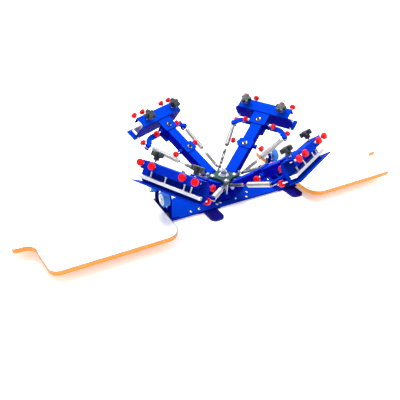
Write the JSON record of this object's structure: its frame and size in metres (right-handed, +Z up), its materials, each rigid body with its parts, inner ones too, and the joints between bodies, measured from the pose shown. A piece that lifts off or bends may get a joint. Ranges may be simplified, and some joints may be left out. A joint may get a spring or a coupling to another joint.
{
  "type": "tabletop screen printing press",
  "caption": "Tabletop screen printing press: a turning hub with spring-lifted print arms and screen clamps, over pallets on a base beam.",
  "frame": {"origin": "on the table plane, under the axis of the turret's centre post", "axes": "+X along the base beam towards the right pallet, +Y away from the viewer, +Z up"},
  "size_m": [1.72, 0.8247, 0.3755],
  "materials": {
    "blue_paint": "gloss powder coat",
    "navy_paint": "satin powder coat",
    "zinc": "bright zinc plate",
    "steel": "turned steel",
    "cast_disc": "dark green-grey casting",
    "board": "white laminate on a wood core",
    "black_plastic": "matt moulded",
    "red_plastic": "gloss moulded",
    "blue_rubber": "moulded rubber tyre",
    "bar_metal": "extruded aluminium",
    "spring_steel": "bright spring wire"
  },
  "bodies": {
    "base": {"base_beam": "blue_paint", "outrigger_feet": "navy_paint", "beam_bolts": "zinc", "pallet_left": "board", "pallet_right": "board", "pallet_support_left": "blue_paint", "pallet_support_right": "blue_paint", "gate_bracket_left": "blue_paint", "gate_bracket_right": "blue_paint", "gate_axles": "zinc", "gate_blocks": "black_plastic", "turret_pedestal": "blue_paint", "centre_post": "steel", "thrust_bearing": "steel", "post_nut": "zinc"},
    "carousel": {"turret_head": "blue_paint", "top_disc": "cast_disc", "dome_bolts": "zinc", "pivot_pins": "zinc", "spring_posts": "steel"},
    "roller_right_back": {"gate_roller_right_back": "blue_rubber"},
    "roller_left_back": {"gate_roller_left_back": "blue_rubber"},
    "roller_left_front": {"gate_roller_left_front": "blue_rubber"},
    "roller_right_front": {"gate_roller_right_front": "blue_rubber"},
    "arm_back_right": {"arm_tube_back_right": "blue_paint", "horn_bracket_back_right": "blue_paint", "arm_screws_back_right": "red_plastic", "springs_back_right": "spring_steel"},
    "head_back_right": {"screen_clamp_back_right": "blue_paint", "lip_screws_back_right": "red_plastic"},
    "bar_back_right": {"clamp_bar_back_right": "bar_metal"},
    "knob_a_back_right": {"star_knob_a_back_right": "black_plastic"},
    "knob_b_back_right": {"star_knob_b_back_right": "black_plastic"},
    "arm_back_left": {"arm_tube_back_left": "blue_paint", "horn_bracket_back_left": "blue_paint", "arm_screws_back_left": "red_plastic", "springs_back_left": "spring_steel"},
    "head_back_left": {"screen_clamp_back_left": "blue_paint", "lip_screws_back_left": "red_plastic"},
    "bar_back_left": {"clamp_bar_back_left": "bar_metal"},
    "knob_a_back_left": {"star_knob_a_back_left": "black_plastic"},
    "knob_b_back_left": {"star_knob_b_back_left": "black_plastic"},
    "arm_front_left": {"arm_tube_front_left": "blue_paint", "horn_bracket_front_left": "blue_paint", "arm_screws_front_left": "red_plastic", "springs_front_left": "spring_steel"},
    "head_front_left": {"screen_clamp_front_left": "blue_paint", "lip_screws_front_left": "red_plastic"},
    "bar_front_left": {"clamp_bar_front_left": "bar_metal"},
    "knob_a_front_left": {"star_knob_a_front_left": "black_plastic"},
    "knob_b_front_left": {"star_knob_b_front_left": "black_plastic"},
    "arm_front_right": {"arm_tube_front_right": "blue_paint", "horn_bracket_front_right": "blue_paint", "arm_screws_front_right": "red_plastic", "springs_front_right": "spring_steel"},
    "head_front_right": {"screen_clamp_front_right": "blue_paint", "lip_screws_front_right": "red_plastic"},
    "bar_front_right": {"clamp_bar_front_right": "bar_metal"},
    "knob_a_front_right": {"star_knob_a_front_right": "black_plastic"},
    "knob_b_front_right": {"star_knob_b_front_right": "black_plastic"}
  },
  "joints": [
    {"name": "carousel_spin", "type": "hinge", "parent": "base", "child": "carousel", "pos_m": [0, 0, 0.052], "axis": [0, 0, 1], "continuous": true},
    {"name": "roller_spin_right_back", "type": "hinge", "parent": "base", "child": "roller_right_back", "pos_m": [0.3005, 0.059, 0.112], "axis": [1, 0, 0], "continuous": true},
    {"name": "roller_spin_left_back", "type": "hinge", "parent": "base", "child": "roller_left_back", "pos_m": [-0.3005, 0.059, 0.112], "axis": [1, 0, 0], "continuous": true},
    {"name": "roller_spin_left_front", "type": "hinge", "parent": "base", "child": "roller_left_front", "pos_m": [-0.3005, -0.059, 0.112], "axis": [1, 0, 0], "continuous": true},
    {"name": "roller_spin_right_front", "type": "hinge", "parent": "base", "child": "roller_right_front", "pos_m": [0.3005, -0.059, 0.112], "axis": [1, 0, 0], "continuous": true},
    {"name": "arm_lift_back_right", "type": "hinge", "parent": "carousel", "child": "arm_back_right", "pos_m": [0.05881, 0.02996, 0.0936], "axis": [-0.454, 0.891, 0], "range_deg": [0, 30.1], "stiffness_Nm_per_rad": 20, "springref_deg": -51.57, "deforming": ["springs_back_right"]},
    {"name": "head_shift_back_right", "type": "slide", "parent": "arm_back_right", "child": "head_back_right", "axis": [-0.454, 0.891, 0], "range_m": [-0.005, 0.005]},
    {"name": "bar_slide_back_right", "type": "slide", "parent": "head_back_right", "child": "bar_back_right", "axis": [-0.506, -0.2578, 0.8231], "range_m": [-0.0065, 0.018]},
    {"name": "knob_turn_a_back_right", "type": "hinge", "parent": "bar_back_right", "child": "knob_a_back_right", "pos_m": [0.32505, 0.07023, 0.31846], "axis": [-0.506, -0.2578, 0.8231], "range_deg": [-1561, 4321]},
    {"name": "knob_turn_b_back_right", "type": "hinge", "parent": "bar_back_right", "child": "knob_b_back_right", "pos_m": [0.24788, 0.2217, 0.31846], "axis": [-0.506, -0.2578, 0.8231], "range_deg": [-1561, 4321]},
    {"name": "arm_lift_back_left", "type": "hinge", "parent": "carousel", "child": "arm_back_left", "pos_m": [-0.02996, 0.05881, 0.0936], "axis": [-0.891, -0.454, 0], "range_deg": [0, 28.5], "stiffness_Nm_per_rad": 20, "springref_deg": -51.57, "deforming": ["springs_back_left"]},
    {"name": "head_shift_back_left", "type": "slide", "parent": "arm_back_left", "child": "head_back_left", "axis": [-0.891, -0.454, 0], "range_m": [-0.005, 0.005]},
    {"name": "bar_slide_back_left", "type": "slide", "parent": "head_back_left", "child": "bar_back_left", "axis": [0.2473, -0.4853, 0.8387], "range_m": [-0.0065, 0.018]},
    {"name": "knob_turn_a_back_left", "type": "hinge", "parent": "bar_back_left", "child": "knob_a_back_left", "pos_m": [-0.07303, 0.33056, 0.31123], "axis": [0.2473, -0.4853, 0.8387], "range_deg": [-1561, 4321]},
    {"name": "knob_turn_b_back_left", "type": "hinge", "parent": "bar_back_left", "child": "knob_b_back_left", "pos_m": [-0.2245, 0.25338, 0.31123], "axis": [0.2473, -0.4853, 0.8387], "range_deg": [-1561, 4321]},
    {"name": "arm_lift_front_left", "type": "hinge", "parent": "carousel", "child": "arm_front_left", "pos_m": [-0.05881, -0.02996, 0.0936], "axis": [0.454, -0.891, 0], "range_deg": [0, 25.3], "stiffness_Nm_per_rad": 20, "springref_deg": -51.57, "deforming": ["springs_front_left"]},
    {"name": "head_shift_front_left", "type": "slide", "parent": "arm_front_left", "child": "head_front_left", "axis": [0.454, -0.891, 0], "range_m": [-0.005, 0.005]},
    {"name": "bar_slide_front_left", "type": "slide", "parent": "head_front_left", "child": "bar_front_left", "axis": [0.4428, 0.2256, 0.8678], "range_m": [-0.0065, 0.018]},
    {"name": "knob_turn_a_front_left", "type": "hinge", "parent": "bar_front_left", "child": "knob_a_front_left", "pos_m": [-0.34102, -0.07836, 0.29629], "axis": [0.4428, 0.2256, 0.8678], "range_deg": [-1561, 4321]},
    {"name": "knob_turn_b_front_left", "type": "hinge", "parent": "bar_front_left", "child": "knob_b_front_left", "pos_m": [-0.26384, -0.22983, 0.29629], "axis": [0.4428, 0.2256, 0.8678], "range_deg": [-1561, 4321]},
    {"name": "arm_lift_front_right", "type": "hinge", "parent": "carousel", "child": "arm_front_right", "pos_m": [0.02996, -0.05881, 0.0936], "axis": [0.891, 0.454, 0], "range_deg": [0, 34.4], "stiffness_Nm_per_rad": 20, "springref_deg": -51.57, "deforming": ["springs_front_right"]},
    {"name": "head_shift_front_right", "type": "slide", "parent": "arm_front_right", "child": "head_front_right", "axis": [0.891, 0.454, 0], "range_m": [-0.005, 0.005]},
    {"name": "bar_slide_front_right", "type": "slide", "parent": "head_front_right", "child": "bar_front_right", "axis": [-0.2851, 0.5595, 0.7782], "range_m": [-0.0065, 0.018]},
    {"name": "knob_turn_a_front_right", "type": "hinge", "parent": "bar_front_right", "child": "knob_a_front_right", "pos_m": [0.06224, -0.30939, 0.33698], "axis": [-0.2851, 0.5595, 0.7782], "range_deg": [-1561, 4321]},
    {"name": "knob_turn_b_front_right", "type": "hinge", "parent": "bar_front_right", "child": "knob_b_front_right", "pos_m": [0.21372, -0.23221, 0.33698], "axis": [-0.2851, 0.5595, 0.7782], "range_deg": [-1561, 4321]}
  ],
  "couplings": [
    {"joint": "knob_turn_a_back_right", "follows": "bar_slide_back_right", "rad_per_m": 4188.8},
    {"joint": "knob_turn_b_back_right", "follows": "bar_slide_back_right", "rad_per_m": 4188.8},
    {"joint": "knob_turn_a_back_left", "follows": "bar_slide_back_left", "rad_per_m": 4188.8},
    {"joint": "knob_turn_b_back_left", "follows": "bar_slide_back_left", "rad_per_m": 4188.8},
    {"joint": "knob_turn_a_front_left", "follows": "bar_slide_front_left", "rad_per_m": 4188.8},
    {"joint": "knob_turn_b_front_left", "follows": "bar_slide_front_left", "rad_per_m": 4188.8},
    {"joint": "knob_turn_a_front_right", "follows": "bar_slide_front_right", "rad_per_m": 4188.8},
    {"joint": "knob_turn_b_front_right", "follows": "bar_slide_front_right", "rad_per_m": 4188.8}
  ]
}
